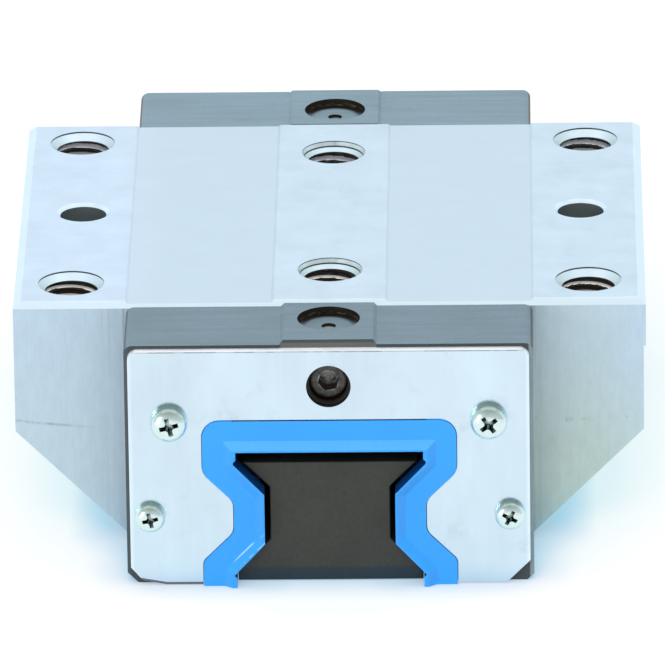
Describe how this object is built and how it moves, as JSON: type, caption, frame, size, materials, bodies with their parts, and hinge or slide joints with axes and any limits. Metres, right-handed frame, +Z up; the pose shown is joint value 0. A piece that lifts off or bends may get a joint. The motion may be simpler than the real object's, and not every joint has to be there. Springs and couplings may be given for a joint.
{
  "type": "roller guide carriage",
  "caption": "Flanged carriage of a linear roller guide: ground steel body with tapped holes, plastic end caps, steel wiper plates and blue end seals, on a transport arbor that slides out.",
  "frame": {"origin": "on the support plane, under the middle of the carriage", "axes": "+X across the carriage towards its reference edge, +Y along the guide away from the front end, +Z up out of the mounting face"},
  "size_m": [0.1, 0.1198, 0.041],
  "materials": {
    "ground_steel": "satin",
    "roller_steel": "polished",
    "sheet_steel": "satin",
    "bright_screw": "polished",
    "black_steel": "satin",
    "cap_plastic": "matte",
    "guide_plastic": "matte",
    "arbor_plastic": "satin",
    "seal_rubber": "satin",
    "side_seal_rubber": "matte"
  },
  "bodies": {
    "carriage": {"carriage_body": "ground_steel", "end_cap_front": "cap_plastic", "wiper_plate_front": "sheet_steel", "end_seal_front": "seal_rubber", "lube_plug_front": "black_steel", "upper_screws_front": "bright_screw", "lower_screws_front": "bright_screw", "upper_turn_guides_front": "guide_plastic", "lower_turn_guides_front": "guide_plastic", "end_cap_rear": "cap_plastic", "wiper_plate_rear": "sheet_steel", "end_seal_rear": "seal_rubber", "lube_plug_rear": "black_steel", "upper_screws_rear": "bright_screw", "lower_screws_rear": "bright_screw", "upper_turn_guides_rear": "guide_plastic", "lower_turn_guides_rear": "guide_plastic", "middle_guide_left": "guide_plastic", "upper_guide_left": "guide_plastic", "lower_guide_left": "guide_plastic", "upper_return_tube_left": "guide_plastic", "lower_return_tube_left": "guide_plastic", "side_seal_left": "side_seal_rubber", "upper_rollers_left": "roller_steel", "lower_rollers_left": "roller_steel", "middle_guide_right": "guide_plastic", "upper_guide_right": "guide_plastic", "lower_guide_right": "guide_plastic", "upper_return_tube_right": "guide_plastic", "lower_return_tube_right": "guide_plastic", "side_seal_right": "side_seal_rubber", "upper_rollers_right": "roller_steel", "lower_rollers_right": "roller_steel"},
    "arbor": {"transport_arbor": "arbor_plastic"}
  },
  "joints": [
    {"name": "arbor_slide", "type": "slide", "parent": "carriage", "child": "arbor", "axis": [0, 1, 0], "range_m": [-0.115, 0.115]}
  ]
}
